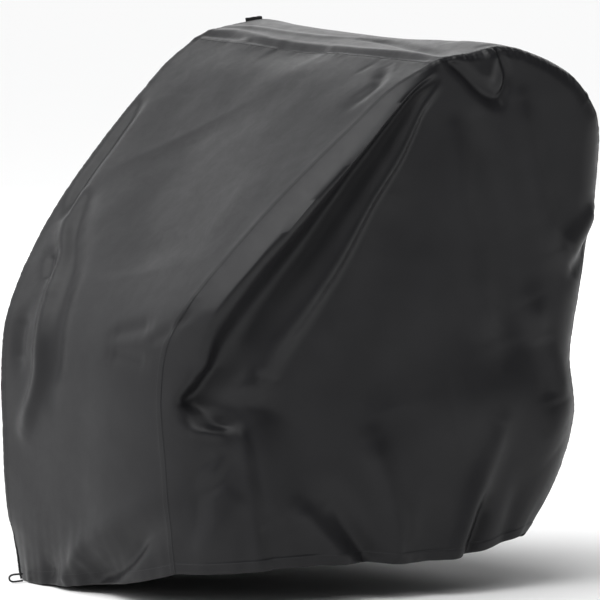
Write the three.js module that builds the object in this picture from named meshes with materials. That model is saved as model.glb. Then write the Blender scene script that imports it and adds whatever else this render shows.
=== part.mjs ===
// A fitted storage cover for a child's bicycle trailer: four sewn panels of thin coated cloth,
// a loop on the hem and a bare tab on the roof's edge. The cloth hangs hollow over the trailer.
// Millimetres, +Z up. The sloping front faces -Y, the trailer's own left side faces +X.
import * as THREE from 'three';

// Driving dimensions
const SHEET = 1.5; // thickness of the coated cloth
const HEM_WIDTH = 20; // height of the turned-up hem
const HEM_THICK = 3; // the hem is two layers of the same cloth
const SEAM_GAP = 0.3; // what parts two panels at a seam
const ORIGIN_SHIFT = { y: 34, z: -3 }; // sets the middle of the whole cover's base on the origin
const HEM_REACH = 340; // how far up the uneven hem pulls the cloth
const HEM_DRAW = 6; // how far the elastic draws the hem in
const HEM_SLACK = 1.9; // over 1, the front and back hem hang lower on their right half
const ROOF_TILT = { atFront: 0.015, perMillimetre: 0.00016, most: 0.031 }; // the right side sits higher
const ROOF_HEIGHT = 955;

// How finely the cloth is divided
const WALL_ROWS = 36; // from the hem up to the roof
const ROOF_ROWS = 36; // along the roof's edge, front to back
const ACROSS = 22; // from side to side
const FRONT_CROWDING = 1.35; // a side panel's columns and the roof's rows are closest at the front

// The side view of the cover, from the front hem over the top to the back hem. corner is the
// radius of the edge between that stretch and the side panels.
const FRONT_ARCH = [
  { y: -464, z: 60, corner: 60 },
  { y: -476, z: 250, corner: 58 },
  { y: -479, z: 370, corner: 46 },
  { y: -461, z: 448, corner: 20 },
  { y: -424, z: 510, corner: 6 },
  { y: -345, z: 611, corner: 4 },
  { y: -250, z: 710, corner: 4 },
  { y: -138, z: 811, corner: 4 },
  { y: -55, z: 881, corner: 4 },
  { y: 22, z: 926, corner: 6 },
];
const ROOF_ARCH = [
  { y: 22, z: 926, corner: 6 },
  { y: 50, z: 936, corner: 9 },
  { y: 100, z: 944, corner: 14 },
  { y: 180, z: 953, corner: 20 },
  { y: 255, z: 936, corner: 28 },
  { y: 325, z: 905, corner: 38 },
  { y: 370, z: 870, corner: 48 },
];
const BACK_ARCH = [
  { y: 370, z: 870, corner: 48 },
  { y: 400, z: 828, corner: 62 },
  { y: 413, z: 774, corner: 76 },
  { y: 407, z: 685, corner: 80 },
  { y: 387, z: 582, corner: 80 },
  { y: 360, z: 454, corner: 80 },
  { y: 352, z: 395, corner: 80 },
  { y: 362, z: 305, corner: 82 },
  { y: 337, z: 222, corner: 86 },
  { y: 306, z: 155, corner: 88 },
  { y: 267, z: 95, corner: 90 },
];

// The plan: half of the cover's width at each distance from the front. It narrows to the nose.
const PLAN = [
  { y: -480, half: 255 },
  { y: -424, half: 268 },
  { y: -345, half: 296 },
  { y: -250, half: 321 },
  { y: -140, half: 343 },
  { y: 0, half: 362 },
  { y: 120, half: 371 },
  { y: 250, half: 370 },
  { y: 420, half: 366 },
];

// Height of the hem above its lowest corner, along the left (+X) and the right (-X) side
const HEM_LINE = [
  { y: -455, left: 60, right: 2 },
  { y: -315, left: 64, right: 14 },
  { y: -136, left: 62, right: 30 },
  { y: -15, left: 53, right: 42 },
  { y: 70, left: 54, right: 50 },
  { y: 140, left: 64, right: 60 },
  { y: 250, left: 86, right: 76 },
];

// Folds. path runs along the fold: [y, z] on a side, [x, z] on the front and back, [x, y] on the
// roof. width and depth are spread evenly along it, a ridge's depth above nothing and a trough's
// below. All are soft, rounded rows of cloth that fade at both ends.
const FOLDS = [
  // Left side: folds where the overhang ends
  {
    on: 'left',
    path: [[-340, 552], [-372, 522], [-415, 492], [-455, 468]],
    width: [12, 14], depth: [-5, -9],
  },
  { on: 'left', path: [[-300, 385], [-360, 372], [-433, 352]], width: [30, 12], depth: [10, 8] },
  { on: 'left', path: [[-440, 338], [-390, 332], [-346, 322]], width: [12, 16], depth: [-9, -5] },
  { on: 'left', path: [[-462, 309], [-415, 306], [-350, 298]], width: [10, 14], depth: [7, 4] },
  { on: 'left', path: [[-340, 262], [-405, 200], [-448, 158]], width: [20, 22], depth: [-5, -8] },
  { on: 'left', path: [[-365, 215], [-438, 89]], width: [18, 20], depth: [-6, -9] },
  { on: 'left', path: [[-330, 200], [-400, 95]], width: [22, 24], depth: [6, 7] },
  // Left side: the pouch that hangs below the roof's edge
  {
    on: 'left',
    path: [[64, 920], [82, 901], [99, 882], [124, 866], [156, 852]],
    width: [14, 16], depth: [-8, -12],
  },
  { on: 'left', path: [[144, 941], [136, 914], [128, 886]], width: [16, 14], depth: [7, 8] },
  {
    on: 'left',
    path: [[152, 945], [163, 923], [172, 902], [172, 880], [165, 862]],
    width: [13, 14], depth: [-7, -7],
  },
  // Left side: soft falls down the middle and back
  { on: 'left', path: [[66, 800], [96, 600], [139, 440]], width: [22, 34], depth: [5, 7] },
  { on: 'left', path: [[110, 810], [165, 600], [200, 440]], width: [24, 36], depth: [-5, -8] },
  { on: 'left', path: [[205, 852], [238, 712], [275, 590]], width: [20, 28], depth: [6, 8] },
  { on: 'left', path: [[-60, 700], [-90, 500], [-60, 330]], width: [40, 60], depth: [-5, -8] },
  { on: 'left', path: [[226, 504], [296, 327]], width: [26, 26], depth: [8, 7] },
  { on: 'left', path: [[250, 440], [270, 330]], width: [22, 22], depth: [-6, -6] },
  { on: 'left', path: [[372, 652], [310, 587]], width: [18, 22], depth: [9, 7] },
  { on: 'left', path: [[368, 600], [320, 545]], width: [16, 20], depth: [-8, -6] },
  { on: 'left', path: [[60, 320], [190, 330], [280, 240]], width: [70, 70], depth: [12, 12] },
  // Left side: gathers above the hem
  { on: 'left', path: [[-170, 180], [-120, 110], [-85, 60]], width: [22, 20], depth: [-8, -22] },
  { on: 'left', path: [[-95, 280], [-52, 150], [-42, 60]], width: [24, 18], depth: [8, 11] },
  { on: 'left', path: [[-232, 170], [-140, 70]], width: [18, 18], depth: [7, 9] },
  { on: 'left', path: [[-290, 150], [-262, 55]], width: [22, 22], depth: [-6, -9] },
  { on: 'left', path: [[160, 290], [112, 180], [62, 55]], width: [24, 16], depth: [9, 13] },
  { on: 'left', path: [[128, 160], [92, 50]], width: [14, 14], depth: [-9, -13] },
  { on: 'left', path: [[20, 150], [15, 45]], width: [24, 20], depth: [-6, -10] },
  { on: 'left', path: [[210, 190], [165, 60]], width: [20, 18], depth: [-5, -10] },
  // Front panel
  {
    on: 'front',
    path: [[-318, 820], [-296, 745], [-283, 686], [-251, 637]],
    width: [12, 12], depth: [-9, -12],
  },
  {
    on: 'front',
    path: [[-262, 672], [-226, 616], [-174, 566], [-148, 517]],
    width: [16, 16], depth: [9, 11],
  },
  {
    on: 'front',
    path: [[-148, 517], [-124, 417], [-126, 365], [-178, 275]],
    width: [16, 18], depth: [11, 8],
  },
  {
    on: 'front',
    path: [[-225, 660], [-180, 600], [-128, 560], [-98, 500], [-78, 410], [-90, 350]],
    width: [22, 26], depth: [-6, -8],
  },
  { on: 'front', path: [[-212, 575], [-180, 538]], width: [18, 16], depth: [-8, -8] },
  { on: 'front', path: [[-196, 468], [-188, 395]], width: [20, 20], depth: [-7, -7] },
  { on: 'front', path: [[245, 478], [188, 450]], width: [13, 11], depth: [-8, -5] },
  { on: 'front', path: [[175, 482], [85, 462]], width: [16, 14], depth: [-6, -4] },
  { on: 'front', path: [[180, 420], [92, 428]], width: [16, 14], depth: [-6, -4] },
  { on: 'front', path: [[236, 425], [224, 432]], width: [14, 14], depth: [7, 7] },
  { on: 'front', path: [[235, 142], [150, 108], [60, 62], [-10, 34]], width: [26, 26], depth: [-9, -22] },
  { on: 'front', path: [[235, 190], [120, 150], [0, 92], [-60, 60]], width: [24, 28], depth: [6, 9] },
  { on: 'front', path: [[215, 90], [150, 66], [100, 48]], width: [18, 16], depth: [8, 6] },
  { on: 'front', path: [[-118, 40], [-132, 12]], width: [16, 14], depth: [-7, -10] },
  { on: 'front', path: [[-10, 75], [-84, 20]], width: [18, 16], depth: [7, 9] },
  { on: 'front', path: [[268, 903], [299, 886], [290, 850]], width: [12, 14], depth: [-6, -4] },
  { on: 'front', path: [[-120, 780], [20, 660], [60, 560]], width: [130, 120], depth: [-9, -8] },
  // The roof sags between its front and back edges, in ridges that run from side to side
  {
    on: 'roof',
    path: [[-354, 56], [-296, 66], [-225, 56], [-150, 46], [-20, 48], [120, 44], [240, 50], [340, 44]],
    width: [11, 12, 12, 10], depth: [4, 3, 3, 4],
  },
  { on: 'roof', path: [[-345, 42], [-290, 44], [-235, 40]], width: [10, 10], depth: [-5, -4] },
  {
    on: 'roof',
    path: [[40, 112], [94, 117], [147, 107], [208, 92], [269, 85], [335, 66]],
    width: [14, 15], depth: [-5, -6],
  },
  { on: 'roof', path: [[230, 180], [340, 170]], width: [44, 40], depth: [3, 4] },
  {
    on: 'roof',
    path: [[-340, 225], [-150, 205], [20, 195], [160, 190]],
    width: [56, 52], depth: [-6, -9, -9, -4],
  },
  { on: 'front', path: [[-120, 930], [40, 930]], width: [46, 40], depth: [-6, -6] },
  // Back: long soft falls from the roof, and gathers above the hem
  { on: 'back', path: [[-250, 800], [-210, 560], [-190, 300]], width: [34, 40], depth: [9, 10] },
  { on: 'back', path: [[-130, 790], [-120, 560], [-60, 320]], width: [36, 42], depth: [-8, -10] },
  { on: 'back', path: [[30, 810], [20, 600], [60, 380]], width: [38, 42], depth: [8, 10] },
  { on: 'back', path: [[180, 800], [150, 540], [170, 300]], width: [34, 40], depth: [-8, -9] },
  { on: 'back', path: [[-200, 250], [-160, 110]], width: [26, 22], depth: [-8, -13] },
  { on: 'back', path: [[-60, 240], [-50, 105]], width: [28, 24], depth: [8, 11] },
  { on: 'back', path: [[90, 250], [60, 105]], width: [26, 22], depth: [-8, -13] },
  { on: 'back', path: [[210, 240], [180, 105]], width: [26, 22], depth: [8, 11] },
  // Right side: its own falls from the roof's corner, and gathers above the hem
  {
    on: 'right',
    path: [[30, 905], [-80, 770], [-210, 610], [-330, 450]],
    width: [16, 40], depth: [-10, -18],
  },
  { on: 'right', path: [[60, 900], [-20, 760], [-130, 590], [-220, 420]], width: [18, 44], depth: [8, 13] },
  { on: 'right', path: [[150, 890], [150, 700], [110, 500]], width: [26, 44], depth: [-6, -9] },
  { on: 'right', path: [[230, 880], [260, 700], [250, 500]], width: [26, 40], depth: [7, 9] },
  { on: 'right', path: [[-454, 110], [-450, 20], [-448, -60]], width: [44, 40], depth: [-2, -26] },
  { on: 'right', path: [[60, 320], [190, 330], [280, 240]], width: [80, 80], depth: [12, 12] },
  { on: 'right', path: [[-380, 330], [-410, 180], [-440, 60]], width: [26, 30], depth: [-6, -9] },
  { on: 'right', path: [[-250, 250], [-220, 130], [-200, 50]], width: [30, 26], depth: [7, 12] },
  { on: 'right', path: [[-120, 240], [-100, 130], [-90, 60]], width: [28, 24], depth: [-8, -13] },
  { on: 'right', path: [[40, 230], [30, 120], [10, 70]], width: [30, 26], depth: [8, 12] },
  { on: 'right', path: [[190, 240], [150, 100]], width: [28, 24], depth: [-8, -12] },
];
// The slack cloth that hangs over along the left front seam, in sections across the side panel at
// distances down the seam from the roof. crest, trough, ridge and flat are distances from the seam:
// out to the overhang's crest, to the trough behind it, to the ridge beyond and to where the cloth
// lies flat again. rise, sink and swell are how far out the first three stand.
const OVERHANG = [
  { down: 0, crest: 12, rise: 0, trough: 24, sink: 0, ridge: 34, swell: 0, flat: 50 },
  { down: 50, crest: 12, rise: 13, trough: 34, sink: -4, ridge: 54, swell: 6, flat: 74 },
  { down: 110, crest: 16, rise: 26, trough: 50, sink: -9, ridge: 74, swell: 10, flat: 96 },
  { down: 180, crest: 19, rise: 37, trough: 64, sink: -12, ridge: 92, swell: 13, flat: 116 },
  { down: 240, crest: 20, rise: 44, trough: 80, sink: -14, ridge: 106, swell: 15, flat: 132 },
  { down: 310, crest: 21, rise: 50, trough: 96, sink: -16, ridge: 123, swell: 17, flat: 150 },
  { down: 390, crest: 22, rise: 52, trough: 108, sink: -17, ridge: 140, swell: 18, flat: 170 },
  { down: 470, crest: 18, rise: 49, trough: 112, sink: -17, ridge: 150, swell: 17, flat: 182 },
  { down: 550, crest: 17, rise: 44, trough: 112, sink: -15, ridge: 154, swell: 14, flat: 188 },
  { down: 620, crest: 20, rise: 34, trough: 104, sink: -12, ridge: 156, swell: 9, flat: 192 },
  { down: 700, crest: 24, rise: 27, trough: 86, sink: -9, ridge: 150, swell: 3, flat: 190 },
  { down: 770, crest: 20, rise: 15, trough: 62, sink: -6, ridge: 130, swell: 0, flat: 180 },
  { down: 850, crest: 40, rise: 3, trough: 100, sink: 0, ridge: 140, swell: 0, flat: 180 },
  { down: 1080, crest: 46, rise: 0, trough: 120, sink: 0, ridge: 150, swell: 0, flat: 180 },
];
const OVERHANG_BEND = { rise: 1.3, fall: 0.55, end: 0.8 }; // 1 is even, past 1 the bend comes late

const FOLD_STEPS = 6; // straight pieces in each stretch of a fold's path
const FOLD_FADE = 0.16; // share of a fold's length over which each end fades
const FOLD_CUTOFF = 2.6; // widths from a fold past which it lifts nothing

// The hem's loop and the roof's tab
const LOOP = { x: -209, z: 12, legs: 12, reach: 17, thick: 3.4, sides: 10, steps: 26 };
const AHEAD = new THREE.Vector3(0, 1, 0); // from in front of the cover towards it
const TAB = { from: 138, to: 173, height: 10, thick: 1.1, lean: 2.5, steps: 5 };

// Reads a table smoothly: the output column at one value of the input column
function follow(rows, input, output, at) {
  const last = rows.length - 1;
  let i = 1;
  while (i < last && at > rows[i][input]) i += 1;
  const [a, b, c, d] = [i - 2, i - 1, i, i + 1].map((k) => rows[THREE.MathUtils.clamp(k, 0, last)]);
  const span = c[input] - b[input];
  const t = THREE.MathUtils.clamp((at - b[input]) / span, 0, 1);
  const slopeIn = ((c[output] - a[output]) / (c[input] - a[input])) * span;
  const slopeOut = ((d[output] - b[output]) / (d[input] - b[input])) * span;
  return (
    (2 * t ** 3 - 3 * t ** 2 + 1) * b[output] +
    (t ** 3 - 2 * t ** 2 + t) * slopeIn +
    (3 * t ** 2 - 2 * t ** 3) * c[output] +
    (t ** 3 - t ** 2) * slopeOut
  );
}

// Points at even steps along one stretch of the side view. Each Vector3 is (corner, y, z).
function stretchOf(rows, steps, hemAt) {
  const curve = new THREE.CatmullRomCurve3(
    rows.map((row) => new THREE.Vector3(row.corner, row.y, row.z)), false, 'centripetal');
  const hemShare = HEM_WIDTH / curve.getLength();
  const shareOf = (k) => {
    if (hemAt === 'start') return k === 0 ? 0 : hemShare + ((1 - hemShare) * (k - 1)) / (steps - 1);
    if (hemAt === 'end') return k === steps ? 1 : ((1 - hemShare) * k) / (steps - 1);
    return (k / steps) ** FRONT_CROWDING;
  };
  return Array.from({ length: steps + 1 }, (_, k) => curve.getPointAt(shareOf(k)));
}

const frontLine = stretchOf(FRONT_ARCH, WALL_ROWS, 'start');
const roofLine = stretchOf(ROOF_ARCH, ROOF_ROWS, 'none');
const backLine = stretchOf(BACK_ARCH, WALL_ROWS, 'end');
const arch = [...frontLine, ...roofLine.slice(1), ...backLine.slice(1)];
const ROOF_START = WALL_ROWS;
const BACK_START = WALL_ROWS + ROOF_ROWS;

// Outward direction of the side view at each of its points
const archOut = arch.map((_, k) => {
  const before = arch[Math.max(k - 1, 0)];
  const after = arch[Math.min(k + 1, arch.length - 1)];
  return new THREE.Vector2(before.z - after.z, after.y - before.y).normalize();
});

// How far a rounded edge stands back from its square corner, at a distance in from that corner
function roundedBack(distance, radius) {
  return distance >= radius ? 0 : radius - Math.sqrt(radius ** 2 - (radius - distance) ** 2);
}
const SEAM_SHARE = 1 - Math.SQRT1_2; // the seam runs halfway round the rounded edge

const halfWidth = (y) => follow(PLAN, 'y', 'half', y);

// The place on a line of the side view nearest to y and z: how far off it is, how far it is from the
// line's end, and the radius of the edge there
function nearestOn(line, y, z) {
  const nearest = { distance: Infinity, passed: 0, corner: 0 };
  let passed = 0;
  for (let k = 1; k < line.length; k += 1) {
    const [from, to] = [line[k - 1], line[k]];
    const [runY, runZ] = [to.y - from.y, to.z - from.z];
    const run = Math.hypot(runY, runZ);
    const along = ((y - from.y) * runY + (z - from.z) * runZ) / run ** 2;
    const t = THREE.MathUtils.clamp(along, 0, 1);
    const distance = Math.hypot(from.y + t * runY - y, from.z + t * runZ - z);
    if (distance < nearest.distance) {
      nearest.distance = distance;
      nearest.passed = passed + t * run;
      nearest.corner = THREE.MathUtils.lerp(from.x, to.x, t);
    }
    passed += run;
  }
  return { ...nearest, toEnd: passed - nearest.passed };
}

// Half width of a side panel at a place in the side view
function sideReach(y, z) {
  const { distance, corner } = nearestOn(arch, y, z);
  return halfWidth(y) - roundedBack(distance, corner);
}

// How far out the left side's slack cloth hangs at a place in the side view
function overhang(y, z) {
  const { distance, toEnd, corner } = nearestOn(frontLine, y, z);
  const fromSeam = Math.max(distance - SEAM_SHARE * corner, 0);
  const read = (output) => follow(OVERHANG, 'down', output, toEnd);
  const [crest, trough, ridge, flat] = ['crest', 'trough', 'ridge', 'flat'].map(read);
  const [rise, sink, swell] = ['rise', 'sink', 'swell'].map(read);
  const share = (from, to) => THREE.MathUtils.clamp((fromSeam - from) / (to - from), 0, 1);
  const turn = (part, bend) => (1 - Math.cos(Math.PI * part ** bend)) / 2;
  return (
    rise * (1 - (1 - share(0, crest)) ** OVERHANG_BEND.rise) +
    (sink - rise) * turn(share(crest, trough), OVERHANG_BEND.fall) +
    (swell - sink) * turn(share(trough, ridge), 1) -
    swell * turn(share(ridge, flat), OVERHANG_BEND.end)
  );
}

// The seam of a side, one point for each point of the side view
function seamPoint(k, side) {
  const { x: corner, y, z } = arch[k];
  const inset = SEAM_SHARE * corner;
  const seamY = y - inset * archOut[k].x;
  return new THREE.Vector3(side * (halfWidth(seamY) - inset), seamY, z - inset * archOut[k].y);
}

// A point of the strip that runs over the cover, at a share of the way from right (-1) to left (1)
function stripPoint(k, share) {
  const seam = seamPoint(k, Math.sign(share) || 1);
  if (Math.abs(share) === 1) return seam;
  const { x: corner, y, z } = arch[k];
  const x = Math.abs(share * seam.x);
  const flat = Math.abs(seam.x) - Math.SQRT1_2 * corner;
  const back = x > flat ? corner - Math.sqrt(corner ** 2 - (x - flat) ** 2) : 0;
  return new THREE.Vector3(share * Math.abs(seam.x), y - back * archOut[k].x, z - back * archOut[k].y);
}

// A strip panel: rows along the side view, columns from the right side to the left
function stripBase(rows) {
  return rows.map((k) =>
    Array.from({ length: ACROSS + 1 }, (_, i) => stripPoint(k, (2 * i) / ACROSS - 1)));
}

// A side panel fills the arch between its front seam, back seam, roof edge and hem
function sideBase(side, columns) {
  const crowd = (i) => (i / columns) ** FRONT_CROWDING;
  const front = Array.from({ length: WALL_ROWS + 1 }, (_, j) => seamPoint(j, side));
  const back = Array.from({ length: WALL_ROWS + 1 }, (_, j) => seamPoint(arch.length - 1 - j, side));
  const roof = Array.from({ length: columns + 1 }, (_, i) =>
    seamPoint(ROOF_START + (i * ROOF_ROWS) / columns, side));
  const hem = Array.from({ length: columns + 1 }, (_, i) =>
    front[0].clone().lerp(back[0], crowd(i)));
  return front.map((_, j) =>
    roof.map((_, i) => {
      if (i === 0) return front[j];
      if (i === columns) return back[j];
      if (j === WALL_ROWS) return roof[i];
      const [u, v] = [crowd(i), j / WALL_ROWS];
      const blend = (axis) =>
        (1 - v) * hem[i][axis] + v * roof[i][axis] + (1 - u) * front[j][axis] + u * back[j][axis] -
        (1 - u) * (1 - v) * hem[0][axis] - u * (1 - v) * hem[columns][axis] -
        (1 - u) * v * roof[0][axis] - u * v * roof[columns][axis];
      const [y, z] = [blend('y'), blend('z')];
      return new THREE.Vector3(side * sideReach(y, z), y, z);
    }));
}

// Where a fold's path lies on the cover
function onCover(on, [a, b]) {
  if (on === 'left' || on === 'right') {
    return new THREE.Vector3((on === 'left' ? 1 : -1) * sideReach(a, b), a, b);
  }
  const line = { front: frontLine, roof: roofLine, back: backLine }[on];
  const axis = on === 'roof' ? 'y' : 'z';
  const nearest = line.reduce((best, point) =>
    Math.abs(point[axis] - b) < Math.abs(best[axis] - b) ? point : best);
  return on === 'roof' ? new THREE.Vector3(a, b, nearest.z) : new THREE.Vector3(a, nearest.y, b);
}

const folds = FOLDS.map(({ on, path, width, depth }) => {
  const place = (pair) => (on === 'roof' ? settle(onCover(on, pair)) : onCover(on, pair));
  const curve = new THREE.CatmullRomCurve3(path.map(place));
  return { points: curve.getPoints(FOLD_STEPS * (path.length - 1)), width, depth };
});

// The value of an evenly spread column at a share of the way along it
function spread(values, share) {
  const k = Math.min(Math.floor(share * (values.length - 1)), values.length - 2);
  return THREE.MathUtils.lerp(values[k], values[k + 1], share * (values.length - 1) - k);
}

// How far the folds together lift the cloth at a point
function foldLift(point) {
  const segment = new THREE.Line3();
  const foot = new THREE.Vector3();
  let lift = 0;
  for (const { points, width, depth } of folds) {
    const last = points.length - 1;
    let nearest = Infinity;
    let share = 0;
    for (let k = 0; k < last; k += 1) {
      segment.set(points[k], points[k + 1]);
      const t = segment.closestPointToPointParameter(point, true);
      const distance = segment.at(t, foot).distanceTo(point);
      if (distance < nearest) [nearest, share] = [distance, (k + t) / last];
    }
    const wide = spread(width, share);
    if (nearest > FOLD_CUTOFF * wide) continue;
    const ends = THREE.MathUtils.smoothstep(Math.min(share, 1 - share), -FOLD_FADE, FOLD_FADE);
    lift += spread(depth, share) * ends * Math.exp(-((nearest / wide) ** 2));
  }
  return lift;
}

// What makes the even shape uneven: the hem's own line, its draw, and the tilt of the top
function settle(point) {
  const toLeft = THREE.MathUtils.clamp(0.5 + point.x / (2 * halfWidth(point.y)), 0, 1);
  const evenHem = THREE.MathUtils.mapLinear(point.y, FRONT_ARCH[0].y, BACK_ARCH.at(-1).y,
    FRONT_ARCH[0].z, BACK_ARCH.at(-1).z);
  const hem = THREE.MathUtils.lerp(
    follow(HEM_LINE, 'y', 'right', point.y), follow(HEM_LINE, 'y', 'left', point.y),
    toLeft ** HEM_SLACK);
  const low = THREE.MathUtils.clamp(1 - (point.z - evenHem) / HEM_REACH, 0, 1);
  const tilt = Math.min(ROOF_TILT.atFront + ROOF_TILT.perMillimetre * point.y, ROOF_TILT.most);
  const high = (point.z / ROOF_HEIGHT) ** 3;
  const draw = 1 - (HEM_DRAW / PLAN.at(-1).half) * low ** 6;
  return new THREE.Vector3(
    point.x * draw,
    point.y * draw,
    point.z + (hem - evenHem) * low ** 1.5 - point.x * Math.max(tilt, 0) * high);
}

// Normals of the grids, shared by panels that meet at a seam
const keyOf = (point) => point.toArray().map((value) => value.toFixed(4)).join();
function sharedNormals(panels, grid) {
  const sums = new Map();
  for (const panel of panels) {
    const points = panel[grid];
    panel.normals = points.map((row, j) => row.map((_, i) => {
      const up = points[Math.min(j + 1, points.length - 1)][i].clone()
        .sub(points[Math.max(j - 1, 0)][i]);
      const along = row[Math.min(i + 1, row.length - 1)].clone().sub(row[Math.max(i - 1, 0)]);
      return along.cross(up).normalize().multiplyScalar(panel.facing);
    }));
    panel.base.forEach((row, j) => row.forEach((point, i) => {
      const key = keyOf(point);
      if (!sums.has(key)) sums.set(key, new THREE.Vector3());
      sums.get(key).add(panel.normals[j][i]);
    }));
  }
  for (const panel of panels) {
    panel.normals = panel.base.map((row) => row.map((point) => sums.get(keyOf(point)).clone().normalize()));
  }
}

// Sets every second point of an edge halfway between its neighbours, to meet a coarser panel
function straighten(points) {
  for (let k = 1; k < points.length - 1; k += 2) {
    points[k].copy(points[k - 1]).lerp(points[k + 1], 0.5);
  }
}

// Moves an edge's points in towards the points beside them, square to the edge, by half of the
// seam's gap
function drawEdge(edge, inner) {
  const moves = edge.map((point, k) => {
    const along = edge[Math.min(k + 1, edge.length - 1)].clone()
      .sub(edge[Math.max(k - 1, 0)]).normalize();
    const inward = inner[k].clone().sub(point);
    return inward.addScaledVector(along, -inward.dot(along)).setLength(SEAM_GAP / 2);
  });
  edge.forEach((point, k) => point.add(moves[k]));
}
const column = (grid, i) => grid.map((row) => row.at(i));

// One closed body from the outer and inner face of a sheet and the strip around its edge
function sheetGeometry(outer, inner, facing) {
  const [rows, columns] = [outer.length, outer[0].length];
  const face = rows * columns;
  const at = (j, i) => j * columns + i;
  const triangles = [];
  const quad = (a, b, c, d) => triangles.push([a, b, c], [a, c, d]);
  for (let j = 0; j < rows - 1; j += 1) {
    for (let i = 0; i < columns - 1; i += 1) {
      const [a, b, c, d] = [at(j, i), at(j, i + 1), at(j + 1, i + 1), at(j + 1, i)];
      quad(a, b, c, d);
      quad(a + face, d + face, c + face, b + face);
    }
  }
  const rim = [
    ...outer[0].map((_, i) => at(0, i)),
    ...outer.slice(1).map((_, j) => at(j + 1, columns - 1)),
    ...outer[0].slice(1).map((_, i) => at(rows - 1, columns - 2 - i)),
    ...outer.slice(1, -1).map((_, j) => at(rows - 2 - j, 0)),
  ];
  rim.forEach((from, k) => {
    const to = rim[(k + 1) % rim.length];
    quad(from, from + face, to + face, to);
  });
  const geometry = new THREE.BufferGeometry().setFromPoints([...outer.flat(), ...inner.flat()]);
  geometry.setIndex(triangles.flatMap(([a, b, c]) => (facing > 0 ? [a, b, c] : [a, c, b])));
  geometry.computeVertexNormals();
  return geometry;
}

// The panels, before they are given their thickness
const range = (from, to, step = 1) =>
  Array.from({ length: (to - from) / step + 1 }, (_, i) => from + i * step);
const panels = [
  { name: 'side_panel_left', facing: 1, base: sideBase(1, ROOF_ROWS) },
  { name: 'side_panel_right', facing: -1, base: sideBase(-1, ROOF_ROWS / 2) },
  { name: 'front_panel', facing: 1, base: stripBase(range(0, ROOF_START)) },
  {
    name: 'roof_and_back_panel',
    facing: 1,
    base: stripBase([...range(ROOF_START, BACK_START), ...range(BACK_START + 2, arch.length - 1, 2)]),
  },
];
for (const panel of panels) panel.even = panel.base.map((row) => row.map(settle));
const [left] = panels;
left.even.flat().forEach((point, k) => {
  const { y, z } = left.base.flat()[k];
  point.x += overhang(y, z);
});
sharedNormals(panels, 'even');
for (const panel of panels) {
  panel.cloth = panel.even.map((row, j) => row.map((point, i) =>
    point.clone().addScaledVector(panel.normals[j][i], foldLift(point))));
}
sharedNormals(panels, 'cloth');

// Both faces of each panel, with the hem thicker
for (const panel of panels) {
  const hemRow = panel.cloth.at(panel.name === 'roof_and_back_panel' ? -1 : 0);
  const thickAt = (row) => (row === hemRow ? HEM_THICK : SHEET) / 2;
  const face = (sign) => panel.cloth.map((row, j) => row.map((point, i) =>
    point.clone().addScaledVector(panel.normals[j][i], sign * thickAt(row))));
  panel.faces = [face(1), face(-1)];
}
const [leftSide, rightSide, frontPanel, roofAndBack] = panels;
for (const face of [0, 1]) {
  straighten(column(leftSide.faces[face], -1));
  straighten(column(rightSide.faces[face], -1));
  straighten(column(roofAndBack.faces[face].slice(0, ROOF_ROWS + 1), 0));
}
const tabSeam = column(roofAndBack.faces[0].slice(0, ROOF_ROWS + 1), 0).map((point) => point.clone());
for (const panel of panels) {
  for (const face of panel.faces) {
    drawEdge(column(face, 0), column(face, 1));
    drawEdge(column(face, -1), column(face, -2));
    if (panel === roofAndBack) drawEdge(face[0], face[1]);
    else drawEdge(face.at(-1), face.at(-2));
  }
}

// The loop: a soft cord bent to a U, whose legs meet the hem's outer face
function loopGeometry() {
  const front = new THREE.Mesh(sheetGeometry(...frontPanel.faces, frontPanel.facing));
  const clothAt = (x, z) => {
    const ray = new THREE.Raycaster(new THREE.Vector3(x, FRONT_ARCH[0].y * 2, z), AHEAD);
    return ray.intersectObject(front)[0].point.y;
  };
  const legAt = (z) => Math.min(...[-1, 1].flatMap((across) => [-1, 1].map((up) =>
    clothAt(LOOP.x + (across * LOOP.thick) / 2, z + (up * LOOP.thick) / 2)))) - SEAM_GAP;
  const [low, high] = [LOOP.z - LOOP.legs / 2, LOOP.z + LOOP.legs / 2];
  const [lowStart, highStart] = [legAt(low), legAt(high)];
  const tip = Math.min(lowStart, highStart) - LOOP.reach;
  const route = new THREE.CatmullRomCurve3([
    [highStart, high], [highStart - 2, high], [tip + 6, high - 0.5], [tip + 1, high - 3.5],
    [tip, LOOP.z], [tip + 1, low + 2.5], [tip + 6, low], [lowStart - 2, low], [lowStart, low],
  ].map(([y, z]) => new THREE.Vector3(LOOP.x, y, z)));
  const section = new THREE.Shape(
    range(0, LOOP.sides - 1).map((k) => {
      const turn = (2 * Math.PI * k) / LOOP.sides;
      return new THREE.Vector2(Math.cos(turn), Math.sin(turn)).multiplyScalar(LOOP.thick / 2);
    }));
  return new THREE.ExtrudeGeometry(section, { steps: LOOP.steps, extrudePath: route });
}

// The tab: a short folded ribbon that stands on the roof's right edge
function tabGeometry() {
  const seam = new THREE.CatmullRomCurve3(tabSeam);
  const shareAt = (y) => {
    const shares = range(0, 400).map((k) => k / 400);
    return shares.reduce((best, share) =>
      Math.abs(seam.getPoint(share).y - y) < Math.abs(seam.getPoint(best).y - y) ? share : best);
  };
  const [from, to] = [shareAt(TAB.from), shareAt(TAB.to)];
  const foot = range(0, TAB.steps).map((k) =>
    seam.getPoint(THREE.MathUtils.lerp(from, to, k / TAB.steps)));
  const wall = (across) => [0, 0.5, 1].map((rise) => foot.map((point) =>
    new THREE.Vector3(
      point.x + across - TAB.lean * rise ** 2,
      point.y,
      point.z + SEAM_GAP + TAB.height * rise)));
  return sheetGeometry(wall(TAB.thick / 2), wall(-TAB.thick / 2), 1);
}

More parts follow.
